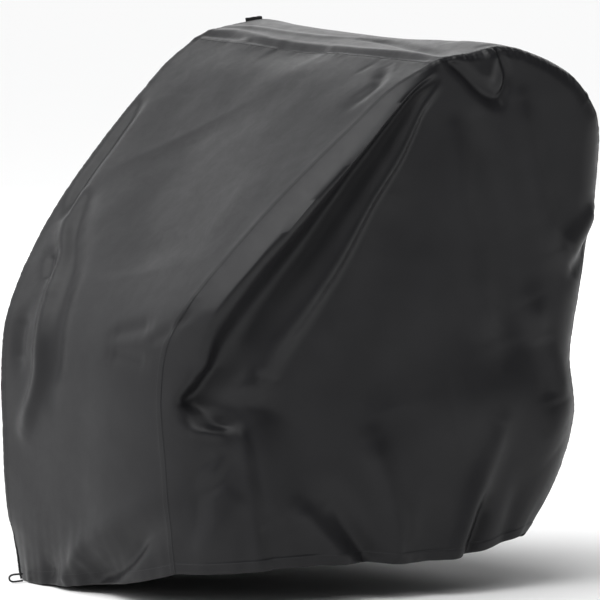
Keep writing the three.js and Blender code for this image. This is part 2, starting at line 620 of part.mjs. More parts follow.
// The exported object
const coatedCloth = new THREE.MeshStandardMaterial({ color: 0x2b2c2e, roughness: 0.46, metalness: 0 });
const cord = new THREE.MeshStandardMaterial({ color: 0x17181a, roughness: 0.85, metalness: 0 });
const ribbon = new THREE.MeshStandardMaterial({ color: 0x1a1a1c, roughness: 0.8, metalness: 0 });

const group = new THREE.Group();
function addPiece(name, geometry, material) {
  const mesh = new THREE.Mesh(geometry, material.clone());
  mesh.name = name;
  mesh.position.set(0, ORIGIN_SHIFT.y, ORIGIN_SHIFT.z);
  group.add(mesh);
}
for (const panel of panels) {
  addPiece(panel.name, sheetGeometry(panel.faces[0], panel.faces[1], panel.facing), coatedCloth);
}
addPiece('hem_loop', loopGeometry(), cord);
addPiece('label_tab', tabGeometry(), ribbon);

export default group;
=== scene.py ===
import math

import bpy
import numpy as np
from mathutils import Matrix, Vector, noise


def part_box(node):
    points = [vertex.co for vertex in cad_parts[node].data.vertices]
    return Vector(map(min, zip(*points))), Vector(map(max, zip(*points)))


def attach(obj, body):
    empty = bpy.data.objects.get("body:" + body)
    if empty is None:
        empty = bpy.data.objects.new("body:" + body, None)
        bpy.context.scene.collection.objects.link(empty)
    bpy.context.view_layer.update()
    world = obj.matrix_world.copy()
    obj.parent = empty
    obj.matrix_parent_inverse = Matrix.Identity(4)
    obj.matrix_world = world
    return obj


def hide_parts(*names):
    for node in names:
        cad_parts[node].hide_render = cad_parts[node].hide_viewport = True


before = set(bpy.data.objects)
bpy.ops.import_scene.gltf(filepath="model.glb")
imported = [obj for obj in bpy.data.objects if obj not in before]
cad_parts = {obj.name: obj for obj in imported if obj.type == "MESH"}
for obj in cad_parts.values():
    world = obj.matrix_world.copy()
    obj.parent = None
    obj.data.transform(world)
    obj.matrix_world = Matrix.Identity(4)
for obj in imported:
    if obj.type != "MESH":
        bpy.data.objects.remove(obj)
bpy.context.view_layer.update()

# Camera, at the photograph's angle: degrees and metres, its sensor in millimetres
FRAME_PIXELS = 600
MM_PER_PIXEL = 1.75
CAMERA = {
    "azimuth": 55, "elevation": 5, "distance": 12.0, "target": (0, 0.034, 0.487), "sensor": 36,
    "sees_to": 200,
}


def toward(azimuth, elevation):
    """Unit vector from the object towards azimuth 0 at -Y, 90 at +X."""
    a, e = math.radians(azimuth), math.radians(elevation)
    return Vector((math.sin(a) * math.cos(e), -math.cos(a) * math.cos(e), math.sin(e)))


def add_object(name, data):
    """An object with a mesh, light or camera in it, linked into the scene."""
    made = bpy.data.objects.new(name, data)
    bpy.context.collection.objects.link(made)
    return made


def stand_around(thing, azimuth, elevation, distance=0):
    """Stands a camera or light around the cover, aimed at its middle."""
    back = toward(azimuth, elevation)
    thing.location = Vector(CAMERA["target"]) + back * distance
    thing.rotation_euler = (-back).to_track_quat("-Z", "Y").to_euler()


def add_camera():
    """A camera that shows MM_PER_PIXEL in each pixel at the cover's middle."""
    data = bpy.data.cameras.new("camera")
    data.sensor_width = CAMERA["sensor"]
    frame_width = FRAME_PIXELS * MM_PER_PIXEL / 1000
    data.lens = CAMERA["sensor"] * CAMERA["distance"] / frame_width
    data.clip_end = CAMERA["sees_to"]
    camera = add_object("camera", data)
    stand_around(camera, CAMERA["azimuth"], CAMERA["elevation"], CAMERA["distance"])
    bpy.context.scene.camera = camera


add_camera()

# Sizes of the cloth
SHEET = 1.1  # coated cloth, drawn a little thick so that its edge shows
HEM_WIDTH = 20
HEM_THICK = 2.6  # two layers and the elastic between them
HEM_FOLD = (0, 1.5)  # the fold at the hem's edge is rounded over this
HEM_END = (HEM_WIDTH - 0.6, HEM_WIDTH + 0.9)  # the turned layer ends over this
SHIFT = np.array([0, 34, -3])  # sets the middle of the whole cover's base on the origin
HEM_REACH = 340  # how far up the uneven hem pulls the cloth
HEM_FADE = 1.5  # how fast that pull fades upwards
HEM_DRAW = {"by": 6, "fade": 6}  # how far the elastic draws the hem in, and how fast that fades
HEM_SLACK = 1.9  # over 1, the front and back hem hang lower on their right half
# The right side sits higher: the slope across at y 0, its change with y, its most, how fast it fades
# downwards
TILT = {"at_middle": 0.015, "per_mm": 0.00016, "most": 0.031, "fade": 3}
ROOF_HEIGHT = 955
# How the front curves back, and inward by a share of that, towards its low left corner: from where and
# over how much across (x), and between which y and z it ends along the side and upwards
CORNER_BOW = {
    "back": 22, "inward": 1.1, "from_x": 40, "over": 200, "most": 1.1, "side": (-440, -280),
    "top": (410, 520),
}

# The side view, from the front hem over the top to the back hem: y, z, radius of the edge to the sides
FRONT_ARCH = [
    (-446, 60, 3), (-458, 250, 3), (-464, 370, 4), (-454, 448, 5), (-424, 510, 6),
    (-345, 611, 4), (-250, 710, 4), (-138, 811, 4), (-55, 881, 4), (22, 926, 6),
]
ROOF_ARCH = [
    (22, 926, 6), (50, 936, 9), (100, 944, 14), (180, 953, 20), (255, 936, 28), (325, 905, 38),
    (370, 870, 48),
]
BACK_ARCH = [
    (370, 870, 48), (400, 828, 62), (413, 774, 76), (407, 685, 80), (387, 582, 80), (360, 454, 80),
    (352, 395, 80), (362, 305, 82), (337, 222, 86), (306, 155, 88), (267, 95, 90),
]
# The plan: y, half of the width there
PLAN = [
    (-472, 242), (-424, 266), (-345, 296), (-250, 321), (-140, 343), (0, 362), (120, 371),
    (250, 370), (420, 366),
]
# Height of the hem above its lowest corner: y, on the left, on the right
HEM_LINE = [
    (-455, 60, 2), (-315, 64, 14), (-136, 62, 30), (-15, 53, 42), (70, 54, 50), (140, 64, 60),
    (250, 86, 76),
]

# Main folds: where, path ([y, z] on a side, [x, z] on the front and back, [x, y] on the roof), widths
# and depths spread along it (above 0 for a ridge, below 0 for a trough)
FOLDS = [
    ("left", [[-352, 562], [-366, 530], [-392, 521], [-420, 500], [-452, 476]], [12, 12], [-5, -8]),
    ("left", [[-352, 545], [-379, 511], [-404, 502], [-430, 482], [-455, 466]], [12, 11], [3, 4]),
    ("left", [[-300, 385], [-360, 372], [-433, 352]], [30, 12], [10, 8]),
    ("left", [[-460, 331], [-448, 338], [-433, 335], [-387, 329], [-364, 318], [-343, 313]], [11, 13],
     [-10, -8]),
    ("left", [[-459, 303], [-445, 306], [-423, 307], [-378, 303], [-357, 306]], [9, 9], [6, 5]),
    ("left", [[-371, 267], [-398, 246], [-412, 212], [-429, 177], [-445, 150]], [14, 20], [-6, -10]),
    ("left", [[-336, 275], [-364, 226], [-399, 194], [-408, 153], [-434, 90]], [13, 15], [-5, -8]),
    ("left", [[-330, 200], [-400, 95]], [22, 24], [6, 7]),
    ("left", [[52, 924], [82, 902], [110, 878], [137, 860], [158, 852]], [9, 13], [-9, -13]),
    ("left", [[144, 941], [136, 914], [128, 886]], [16, 14], [7, 8]),
    ("left", [[152, 945], [165, 920], [174, 897], [171, 874], [160, 857]], [7, 8], [-9, -8]),
    ("left", [[66, 800], [96, 600], [139, 440]], [22, 34], [5, 7]),
    ("left", [[110, 810], [165, 600], [200, 440]], [24, 36], [-5, -8]),
    ("left", [[205, 852], [238, 712], [275, 590]], [20, 28], [6, 8]),
    ("left", [[-60, 700], [-90, 500], [-60, 330]], [40, 60], [-5, -8]),
    ("left", [[226, 504], [296, 327]], [26, 26], [8, 7]),
    ("left", [[250, 440], [270, 330]], [22, 22], [-6, -6]),
    ("left", [[372, 652], [310, 587]], [18, 22], [9, 7]),
    ("left", [[368, 600], [320, 545]], [16, 20], [-8, -6]),
    ("left", [[60, 320], [190, 330], [280, 240]], [70, 70], [12, 12]),
    ("left", [[-170, 180], [-120, 110], [-85, 60]], [22, 20], [-8, -22]),
    ("left", [[-95, 280], [-52, 150], [-42, 60]], [24, 18], [8, 11]),
    ("left", [[-232, 170], [-140, 70]], [18, 18], [7, 9]),
    ("left", [[-290, 150], [-262, 55]], [22, 22], [-6, -9]),
    ("left", [[160, 290], [112, 180], [62, 55]], [24, 16], [9, 13]),
    ("left", [[128, 160], [92, 50]], [14, 14], [-9, -13]),
    ("left", [[20, 150], [15, 45]], [24, 20], [-6, -10]),
    ("left", [[210, 190], [165, 60]], [20, 18], [-5, -10]),
    ("front", [[-318, 820], [-296, 745], [-283, 686], [-251, 637]], [12, 12], [-9, -12]),
    ("front", [[-262, 672], [-226, 616], [-174, 566], [-148, 517]], [16, 16], [9, 11]),
    ("front", [[-148, 517], [-124, 417], [-126, 365], [-178, 275]], [16, 18], [11, 8]),
    ("front", [[-225, 660], [-180, 600], [-128, 560], [-98, 500], [-78, 410], [-90, 350]],
     [22, 26], [-6, -8]),
    ("front", [[-212, 575], [-180, 538]], [18, 16], [-8, -8]),
    ("front", [[-196, 468], [-188, 395]], [20, 20], [-7, -7]),
    ("front", [[245, 481], [190, 455]], [13, 12], [-5, -4]),
    ("front", [[247, 464], [202, 443], [174, 432]], [12, 11], [3, 2]),
    ("front", [[175, 482], [85, 462]], [16, 14], [-6, -4]),
    ("front", [[180, 420], [92, 428]], [16, 14], [-6, -4]),
    ("front", [[236, 425], [224, 432]], [18, 18], [3, 3]),
    ("front", [[235, 142], [150, 108], [60, 62], [-10, 34]], [26, 26], [-9, -18]),
    ("front", [[172, 118], [156, 104], [127, 76], [68, 42], [-20, 20]], [11, 15], [-10, -16]),
    ("front", [[235, 190], [120, 150], [0, 92], [-60, 60]], [24, 28], [6, 9]),
    ("front", [[215, 90], [150, 66], [100, 48]], [18, 16], [8, 6]),
    ("front", [[-118, 40], [-132, 12]], [16, 14], [-7, -10]),
    ("front", [[-10, 75], [-84, 20]], [18, 16], [7, 9]),
    ("front", [[268, 903], [299, 886], [290, 850]], [12, 14], [-6, -4]),
    ("front", [[-120, 780], [20, 660], [60, 560]], [130, 120], [-9, -8]),
    ("roof", [[-354, 56], [-296, 66], [-225, 56], [-150, 46], [-20, 48], [120, 44], [240, 50],
              [340, 44]], [11, 12, 12, 10], [4, 3, 3, 4]),
    ("roof", [[-345, 42], [-290, 44], [-235, 40]], [9, 8], [-5, -4]),
    ("roof", [[-200, 33], [60, 32], [330, 30]], [8, 8], [-3, -3]),
    ("roof", [[-348, 90], [-285, 98], [-225, 96], [-141, 94], [-62, 99], [10, 112]], [10, 12], [3, 2]),
    ("roof", [[40, 112], [94, 117], [147, 107], [208, 92], [269, 85], [335, 66]], [13, 15], [-5, -6]),
    ("roof", [[230, 180], [340, 170]], [44, 40], [3, 4]),
    ("roof", [[-340, 225], [-150, 205], [20, 195], [160, 190]], [56, 52], [-6, -9, -9, -4]),
    ("front", [[-120, 930], [40, 930]], [46, 40], [-6, -6]),
    ("back", [[-250, 800], [-210, 560], [-190, 300]], [34, 40], [9, 10]),
    ("back", [[-130, 790], [-120, 560], [-60, 320]], [36, 42], [-8, -10]),
    ("back", [[30, 810], [20, 600], [60, 380]], [38, 42], [8, 10]),
    ("back", [[180, 800], [150, 540], [170, 300]], [34, 40], [-8, -9]),
    ("back", [[-200, 250], [-160, 110]], [26, 22], [-8, -13]),
    ("back", [[-60, 240], [-50, 105]], [28, 24], [8, 11]),
    ("back", [[90, 250], [60, 105]], [26, 22], [-8, -13]),
    ("back", [[210, 240], [180, 105]], [26, 22], [8, 11]),
    ("right", [[30, 905], [-80, 770], [-210, 610], [-330, 450]], [16, 40], [-10, -18]),
    ("right", [[60, 900], [-20, 760], [-130, 590], [-220, 420]], [18, 44], [8, 13]),
    ("right", [[150, 890], [150, 700], [110, 500]], [26, 44], [-6, -9]),
    ("right", [[230, 880], [260, 700], [250, 500]], [26, 40], [7, 9]),
    ("right", [[-454, 110], [-450, 20], [-448, -60]], [44, 40], [-2, -26]),
    ("right", [[60, 320], [190, 330], [280, 240]], [80, 80], [12, 12]),
    ("right", [[-380, 330], [-410, 180], [-440, 60]], [26, 30], [-6, -9]),
    ("right", [[-250, 250], [-220, 130], [-200, 50]], [30, 26], [7, 12]),
    ("right", [[-120, 240], [-100, 130], [-90, 60]], [28, 24], [-8, -13]),
    ("right", [[40, 230], [30, 120], [10, 70]], [30, 26], [8, 12]),
    ("right", [[190, 240], [150, 100]], [28, 24], [-8, -12]),
]
FOLD_FADE = 0.16  # share of a fold's length over which each end fades
FOLD_CUTOFF = 2.6  # widths from a fold past which it lifts nothing
FOLD_STEPS = 6  # points of a fold's line between two of its path

# The slack cloth that hangs over along the left front seam, in sections across the side panel: how far
# down the seam from the roof, then distance from the seam and lift of the overhang's crest, of the
# trough behind it and of the ridge beyond, the distance at which the cloth lies flat again, and how
# round the cloth is from the seam to the crest
OVERHANG = [
    (0, 12, 0, 24, 0, 34, 0, 50, 1.3),
    (50, 12, 13, 27, -3, 50, 7, 68, 1.3),
    (110, 16, 26, 42, -6, 72, 12, 94, 1.3),
    (180, 19, 37, 54, -8, 94, 15, 118, 1.3),
    (240, 20, 44, 64, -10, 108, 17, 136, 1.3),
    (310, 21, 50, 77, -11, 126, 18, 158, 1.3),
    (390, 22, 52, 90, -11, 143, 19, 178, 1.3),
    (470, 20, 50, 98, -11, 152, 18, 190, 1.3),
    (550, 20, 47, 100, -10, 156, 15, 196, 1.4),
    (620, 24, 43, 98, -9, 158, 11, 200, 1.5),
    (700, 34, 42, 90, -8, 152, 6, 196, 1.9),
    (740, 22, 33, 74, -6, 145, 4, 190, 1.9),
    (780, 10, 20, 52, -2, 130, 2, 180, 1.9),
    (830, 40, 34, 100, 24, 140, 12, 220, 2.4),
    (900, 54, 38, 110, 30, 150, 16, 240, 2.6),
    (1080, 60, 38, 120, 30, 170, 16, 260, 2.6),
]
OVERHANG_EASE = {"to_trough": 0.9, "to_flat": 0.8}  # under 1, the cloth falls off sooner

# Finer creases, in the columns of the main folds
CREASES = [
    ("front", [[238, 925], [299, 930], [348, 932]], [5, 5], [1.5, 2]),
    ("front", [[261, 923], [280, 915], [294, 907]], [5, 4], [2, 1.5]),
    ("front", [[268, 921], [252, 905]], [4, 5], [-1.5, -1]),
    ("front", [[216, 917], [209, 899]], [4, 5], [-1.5, -1]),
    ("left", [[214, 942], [250, 921], [272, 911], [309, 902]], [5, 4], [2, 2.5]),
    ("left", [[321, 899], [341, 882], [358, 866]], [6, 5], [2.5, 2]),
]


# Lines and tables


def cubic(t, start, lead, end, tail):
    """From start to end as t goes from 0 to 1, with the slopes lead and tail."""
    return (
        (2 * t**3 - 3 * t**2 + 1) * start + (t**3 - 2 * t**2 + t) * lead
        + (3 * t**2 - 2 * t**3) * end + (t**3 - t**2) * tail
    )


def follow(rows, at, column=1):
    """Reads a table smoothly: one column at values of the first."""
    rows = np.array(rows, float)
    x, y = rows[:, 0], rows[:, column]
    c = np.clip(np.searchsorted(x, at), 1, len(x) - 1)
    a, b, d = np.maximum(c - 2, 0), c - 1, np.minimum(c + 1, len(x) - 1)
    span = x[c] - x[b]
    lead = (y[c] - y[a]) / (x[c] - x[a]) * span
    tail = (y[d] - y[b]) / (x[d] - x[b]) * span
    return cubic(np.clip((at - x[b]) / span, 0, 1), y[b], lead, y[c], tail)


def smooth_line(points, steps=24):
    """A centripetal curve through points, as a close polyline."""
    p = np.array(points, float)
    p = np.vstack([2 * p[0] - p[1], p, 2 * p[-1] - p[-2]])
    t = np.linspace(0, 1, steps, endpoint=False)[:, None]
    parts = []
    for a, b, c, d in zip(p, p[1:], p[2:], p[3:]):
        d0, d1, d2 = (math.sqrt(np.linalg.norm(q - r)) for q, r in ((b, a), (c, b), (d, c)))
        lead = ((b - a) / d0 - (c - a) / (d0 + d1) + (c - b) / d1) * d1
        tail = ((c - b) / d1 - (d - b) / (d1 + d2) + (d - c) / d2) * d1
        parts.append(cubic(t, b, lead, c, tail))
    return np.vstack(parts + [p[-2:-1]])


def lengths(line):
    """Distance along a polyline at each of its points."""
    return np.concatenate([[0], np.cumsum(np.linalg.norm(np.diff(line, axis=0), axis=1))])


def read_columns(columns, known_at, at):
    """Every column of a table at places between those where it is known."""
    return np.stack([np.interp(at, known_at, column) for column in columns.T], axis=-1)


def read_line(line, at):
    """Points of a polyline at distances along it."""
    return read_columns(line, lengths(line), at)


def smoothstep(x, low, high):
    """Rises from 0 at low to 1 at high, level at both."""
    t = np.clip((x - low) / (high - low), 0, 1)
    return t * t * (3 - 2 * t)


def unit(vectors):
    """The same directions, with length 1."""
    return vectors / np.maximum(np.linalg.norm(vectors, axis=-1, keepdims=True), 1e-9)


def spaced(length, start, end, count):
    """Distances along a length, close together at its two edges and even between them."""
    first, last = np.array(start, float), length - np.array(end, float)[::-1]
    middle = np.linspace(first[-1], last[0], count - len(first) - len(last) + 3)
    return np.concatenate([first[:-1], middle, last[1:]])


def nearest_on(line, points, at_once=4000):
    """Distance to a polyline, distance along it, and the nearest point, for each point."""
    runs = np.diff(line, axis=0)
    squares = np.maximum((runs**2).sum(1), 1e-9)
    starts = lengths(line)
    results = []
    for k in range(0, len(points), at_once):
        p = points[k:k + at_once, None]
        t = np.clip(((p - line[:-1]) * runs).sum(2) / squares, 0, 1)
        foot = line[:-1] + t[..., None] * runs
        distance = np.linalg.norm(p - foot, axis=2)
        best = distance.argmin(1)
        pick = np.arange(len(best))
        along = starts[best] + t[pick, best] * np.sqrt(squares[best])
        results.append(np.column_stack([distance[pick, best], along, foot[pick, best]]))
    table = np.vstack(results)
    return table[:, 0], table[:, 1], table[:, 2:]


def boxed_with(line, points, reach):
    """Which points are inside the line's box, made larger by reach."""
    return ((points > line.min(0) - reach) & (points < line.max(0) + reach)).all(1)


# The even shape, before it settles and folds

front_line, roof_line, back_line = (smooth_line(rows) for rows in (FRONT_ARCH, ROOF_ARCH, BACK_ARCH))
ARCH = np.vstack([front_line, roof_line[1:], back_line[1:]])
ROOF_AT = lengths(front_line)[-1]
BACK_AT = ROOF_AT + lengths(roof_line)[-1]
ARCH_END = BACK_AT + lengths(back_line)[-1]
EDGE_WINDOW = 15  # the side view's direction is taken over this much to either side
SEAM_SHARE = 1 - math.sqrt(0.5)  # the seam runs halfway round the rounded edge

# The panels' grids: distances of their lines from a seam, in step with its stitch rows, and from the hem
EDGE = [0, 1, 2, 3.2, 5, 7.5, 9.8, 11, 12.2, 14, 18, 24]
SIDE_EDGE = [0, 1, 3, 6, 10]
HEM_EDGE = [0, 0.7, 2, 5, 9, 13, 16.5, 18, 19.4, 20.6, 22.5, 26]
WALL_COUNT, ROOF_COUNT, ACROSS_COUNT = 215, 165, 104


def arch_at(at):
    """y, z, edge radius and outward direction (y, z) of the side view at distances along it."""
    y, z, corner = read_line(ARCH, at).T
    before, after = (read_line(ARCH, np.clip(at + d, 0, ARCH_END)) for d in (-EDGE_WINDOW, EDGE_WINDOW))
    out = unit(np.stack([before[..., 1] - after[..., 1], after[..., 0] - before[..., 0]], axis=-1))
    return y, z, corner, out[..., 0], out[..., 1]


def round_off(into, radius):
    """How far a rounded edge falls back, so far into its curve."""
    return radius - np.sqrt(np.maximum(radius**2 - into**2, 0))


def half_width(y):
    """Half of the cover's width at places along it."""
    return follow(PLAN, y)


def side_reach(y, z):
    """Half width of a side panel at places in the side view."""
    places = np.column_stack([np.ravel(y), np.ravel(z)]).astype(float)
    distance, along, _ = nearest_on(ARCH[:, :2], places)
    corner = np.interp(along, lengths(ARCH[:, :2]), ARCH[:, 2])
    back = round_off(np.clip(corner - distance, 0, corner), corner)
    return (half_width(places[:, 0]) - back).reshape(np.shape(y))


def seam_points(at, side):
    """Points of the seam between a strip and the left (1) or right (-1) side panel."""
    y, z, corner, out_y, out_z = arch_at(at)
    inset = SEAM_SHARE * corner
    seam_y = y - inset * out_y
    return np.stack([side * (half_width(seam_y) - inset), seam_y, z - inset * out_z], axis=-1)


def strip_base(at):
    """A strip over the cover: rows along the side view, columns from the right side to the left."""
    y, z, corner, out_y, out_z = (column[:, None] for column in arch_at(at))
    reach = np.abs(seam_points(at, 1)[:, :1])
    edge = np.array(EDGE, float)
    inner = reach - edge[-1]
    x = np.concatenate([
        -reach + edge[None, :-1], inner * np.linspace(-1, 1, ACROSS_COUNT)[None],
        reach - edge[None, -2::-1],
    ], axis=1)
    flat = reach - math.sqrt(0.5) * corner
    back = round_off(np.clip(np.abs(x) - flat, 0, corner), corner)
    points = np.stack([x, y - back * out_y, z - back * out_z], axis=-1)
    points[:, 0], points[:, -1] = seam_points(at, -1), seam_points(at, 1)
    return points


def side_base(side, front_at, back_at, roof_at):
    """A side panel fills the arch between its front seam, back seam, roof edge and hem."""
    front, back, roof = (seam_points(at, side) for at in (front_at, back_at, roof_at))
    u = ((roof_at - roof_at[0]) / (roof_at[-1] - roof_at[0]))[None, :, None]
    v = (front_at / front_at[-1])[:, None, None]
    hem = front[0] + u[0] * (back[0] - front[0])
    points = (
        (1 - v) * hem[None] + v * roof[None] + (1 - u) * front[:, None] + u * back[:, None]
        - (1 - u) * (1 - v) * hem[0] - u * (1 - v) * hem[-1] - (1 - u) * v * roof[0] - u * v * roof[-1]
    )
    inside = (slice(0, -1), slice(1, -1))
    points[..., 0][inside] = side * side_reach(points[..., 1][inside], points[..., 2][inside])
    points[:, 0], points[:, -1], points[-1] = front, back, roof
    return points


def make_panels():
    """Each panel as an even grid, with the way its cloth faces and whether its last row is the hem."""
    front_at = spaced(ROOF_AT, HEM_EDGE, EDGE, WALL_COUNT)
    back_at = ARCH_END - spaced(ARCH_END - BACK_AT, HEM_EDGE, SIDE_EDGE, WALL_COUNT)
    roof_at = ROOF_AT + spaced(BACK_AT - ROOF_AT, EDGE, SIDE_EDGE, ROOF_COUNT)
    strip_at = np.concatenate([roof_at, back_at[::-1][1:]])
    left, right = (side_base(side, front_at, back_at, roof_at) for side in (1, -1))
    return {
        "front_panel": {"facing": 1, "hem_last": False, "base": strip_base(front_at)},
        "roof_and_back_panel": {"facing": 1, "hem_last": True, "base": strip_base(strip_at)},
        "side_panel_left": {"facing": 1, "hem_last": False, "base": left},
        "side_panel_right": {"facing": -1, "hem_last": False, "base": right},
    }


def from_hem(panel, number=0):
    """Index of a panel's row, counted up from its hem."""
    return -1 - number if panel["hem_last"] else number


def above_hem(panel, grid):
    """How far each point of a panel is from the hem below it."""
    return np.linalg.norm(grid - grid[from_hem(panel)], axis=2)


# How the even shape settles and hangs


def settle(points):
    """What makes the even shape uneven: the hem's own line, its draw, the tilt and the bowed corner."""
    x, y, z = np.moveaxis(points, -1, 0)
    to_left = np.clip(0.5 + x / (2 * half_width(y)), 0, 1) ** HEM_SLACK
    (front_y, front_z, _), (back_y, back_z, _) = FRONT_ARCH[0], BACK_ARCH[-1]
    even_hem = front_z + (y - front_y) / (back_y - front_y) * (back_z - front_z)
    hem = follow(HEM_LINE, y, 2) * (1 - to_left) + follow(HEM_LINE, y, 1) * to_left
    low = np.clip(1 - (z - even_hem) / HEM_REACH, 0, 1)
    draw = 1 - HEM_DRAW["by"] / PLAN[-1][1] * low ** HEM_DRAW["fade"]
    tilt = np.clip(TILT["at_middle"] + TILT["per_mm"] * y, 0, TILT["most"])
    across = np.clip((x - CORNER_BOW["from_x"]) / CORNER_BOW["over"], 0, CORNER_BOW["most"])
    bow = CORNER_BOW["back"] * across**2
    bow = bow * (1 - smoothstep(y, *CORNER_BOW["side"])) * (1 - smoothstep(z, *CORNER_BOW["top"]))
    height = z + (hem - even_hem) * low**HEM_FADE - x * tilt * (z / ROOF_HEIGHT) ** TILT["fade"]
    return np.stack([x * draw - CORNER_BOW["inward"] * bow, y * draw + bow, height], axis=-1)


def overhang(y, z):
    """How far out the left side's slack cloth hangs at places in the side view."""
    seam_side = front_line[:, :2]
    along = lengths(seam_side)
    distance, up, _ = nearest_on(seam_side, np.column_stack([np.ravel(y), np.ravel(z)]))
    distance = np.maximum(distance - SEAM_SHARE * np.interp(up, along, front_line[:, 2]), 0)
    crest, rise, trough, sink, ridge, swell, flat, round_out = (
        follow(OVERHANG, along[-1] - up, column) for column in range(1, 9))
    from_seam = 1 - (1 - np.clip(distance / crest, 0, 1)) ** round_out
    shares = [
        np.clip((distance - crest) / (trough - crest), 0, 1) ** OVERHANG_EASE["to_trough"],
        np.clip((distance - trough) / (ridge - trough), 0, 1),
        np.clip((distance - ridge) / (flat - ridge), 0, 1) ** OVERHANG_EASE["to_flat"],
    ]
    turn = [(1 - np.cos(np.pi * share)) / 2 for share in shares]
    lift = rise * from_seam + (sink - rise) * turn[0] + (swell - sink) * turn[1] - swell * turn[2]
    return lift.reshape(np.shape(y))


# Folds


def on_cover(where, path):
    """The points of a fold's path on the cover."""
    a, b = np.array(path, float).T
    if where in ("left", "right"):
        return np.column_stack([(1 if where == "left" else -1) * side_reach(a, b), a, b])
    line = {"front": front_line, "roof": roof_line, "back": back_line}[where]
    if where == "roof":
        return settle(np.column_stack([a, b, np.interp(b, line[:, 0], line[:, 1])]))
    order = line[:, 1].argsort()
    return np.column_stack([a, np.interp(b, line[order, 1], line[order, 0]), b])


def lift_of(folds, points):
    """How far folds together lift the cloth at points."""
    lift = np.zeros(len(points))
    for where, path, widths, depths in folds:
        line = smooth_line(on_cover(where, path), FOLD_STEPS)
        near = boxed_with(line, points, FOLD_CUTOFF * max(widths))
        if not near.any():
            continue
        distance, along, _ = nearest_on(line, points[near])
        share = along / lengths(line)[-1]
        wide = np.interp(share, np.linspace(0, 1, len(widths)), widths)
        depth = np.interp(share, np.linspace(0, 1, len(depths)), depths)
        ends = smoothstep(np.minimum(share, 1 - share), -FOLD_FADE, FOLD_FADE)
        lift[near] += depth * ends * np.exp(-((distance / wide) ** 2))
    return lift


def ripple(points, scale, seed):
    """Even random waves, the same at the same place each time."""
    return np.array([noise.noise(Vector(p) / scale + Vector((seed, -seed, seed))) for p in points])


def grid_normals(points, facing):
    """The way the cloth faces at each point of its grid."""
    up, along = np.gradient(points, axis=(0, 1))
    return facing * unit(np.cross(along, up))


def share_normals(key):
    """Normals of the grids under key, the same on both sides of a seam."""
    normals = [grid_normals(p[key], p["facing"]).reshape(-1, 3) for p in panels.values()]
    places = np.round(np.vstack([p["base"].reshape(-1, 3) for p in panels.values()]), 2)
    _, same = np.unique(places, axis=0, return_inverse=True)
    same = same.ravel()
    sums = np.zeros((same.max() + 1, 3))
    np.add.at(sums, same, np.vstack(normals))
    shared = np.split(unit(sums[same]), np.cumsum([len(n) for n in normals])[:-1])
    for panel, normal in zip(panels.values(), shared):
        panel["normals"] = normal.reshape(panel["base"].shape)


def push(source, target, lift):
    """Moves each panel's cloth along its normals by what lift says for it."""
    for name, panel in panels.items():
        points = panel[source].reshape(-1, 3)
        moves = panel["normals"].reshape(-1, 3) * lift(name, panel, points)[:, None]
        panel[target] = (points + moves).reshape(panel[source].shape)


panels = make_panels()
for panel in panels.values():
    panel["even"] = settle(panel["base"])
left = panels["side_panel_left"]
left["even"][..., 0] += overhang(left["base"][..., 1], left["base"][..., 2])
share_normals("even")
push("even", "cloth", lambda name, panel, points: lift_of(FOLDS, points))
share_normals("cloth")

# Sewing: what the seams and the hem do to the cloth beside them
ROW_PITCH = 9  # between the two stitch rows of a seam
ROW_AT = (2, 2 + ROW_PITCH)  # their distances from the seam
HEM_ROW_AT = 18  # distance of the hem's stitch row from its edge
LAP = {"rise": 0.4, "from": 11.6, "to": 14.5}  # the seam's extra layers of cloth lift the strip's edge
GROOVE = {"depth": 0.3, "width": 1.3}  # the stitches press the cloth down
SEAM_RIPPLE = {"scale": 8, "seed": 0.0, "reach": 11, "cutoff": 27.5}
HEM_RIPPLE = {"scale": 21, "seed": 7.0, "reach": 46, "cutoff": 138, "depth": 2.6}
CRUMPLE = ((95, 1.3), (37, 0.25))  # sizes and depths of the cloth's own unevenness

front, strip = panels["front_panel"]["cloth"], panels["roof_and_back_panel"]["cloth"]
roof_rows, back_rows = slice(0, ROOF_COUNT + 1), slice(ROOF_COUNT, None)
# Each seam: its line, how deep its puckers are, and the panel lapped over it
SEAMS = [
    (front[:, -1], 0.9, "front_panel"),
    (front[:, 0], 0.9, "front_panel"),
    (front[-1], 1.5, "roof_and_back_panel"),
    (strip[roof_rows, -1], 1.9, "roof_and_back_panel"),
    (strip[roof_rows, 0], 1.5, "roof_and_back_panel"),
    (strip[back_rows, -1], 1.2, "roof_and_back_panel"),
    (strip[back_rows, 0], 1.2, "roof_and_back_panel"),
]


def sewn_lift(name, panel, points):
    """What seams, hem and the cloth's own unevenness add to a panel."""
    lift = np.zeros(len(points))
    for line, depth, lapped in SEAMS:
        near = boxed_with(line, points, SEAM_RIPPLE["cutoff"])
        if not near.any():
            continue
        distance, _, foot = nearest_on(line, points[near])
        close = np.exp(-((distance / SEAM_RIPPLE["reach"]) ** 2))
        change = depth * ripple(foot, SEAM_RIPPLE["scale"], SEAM_RIPPLE["seed"]) * close
        if name == lapped:
            change += LAP["rise"] * (1 - smoothstep(distance, LAP["from"], LAP["to"]))
            for row in ROW_AT:
                change -= GROOVE["depth"] * np.exp(-(((distance - row) / GROOVE["width"]) ** 2))
        lift[near] += change
    grid = points.reshape(panel["cloth"].shape)
    above = above_hem(panel, grid).ravel()
    below = np.broadcast_to(grid[from_hem(panel)] * np.array([1, 1, 0]), grid.shape).reshape(-1, 3)
    low = above < HEM_RIPPLE["cutoff"]
    lift[low] += (
        HEM_RIPPLE["depth"] * ripple(below[low], HEM_RIPPLE["scale"], HEM_RIPPLE["seed"])
        * np.exp(-above[low] / HEM_RIPPLE["reach"])
    )
    for scale, depth in CRUMPLE:
        lift += depth * ripple(points, scale, scale)
    return lift + lift_of(CREASES, points)


push("cloth", "sewn", sewn_lift)
share_normals("sewn")

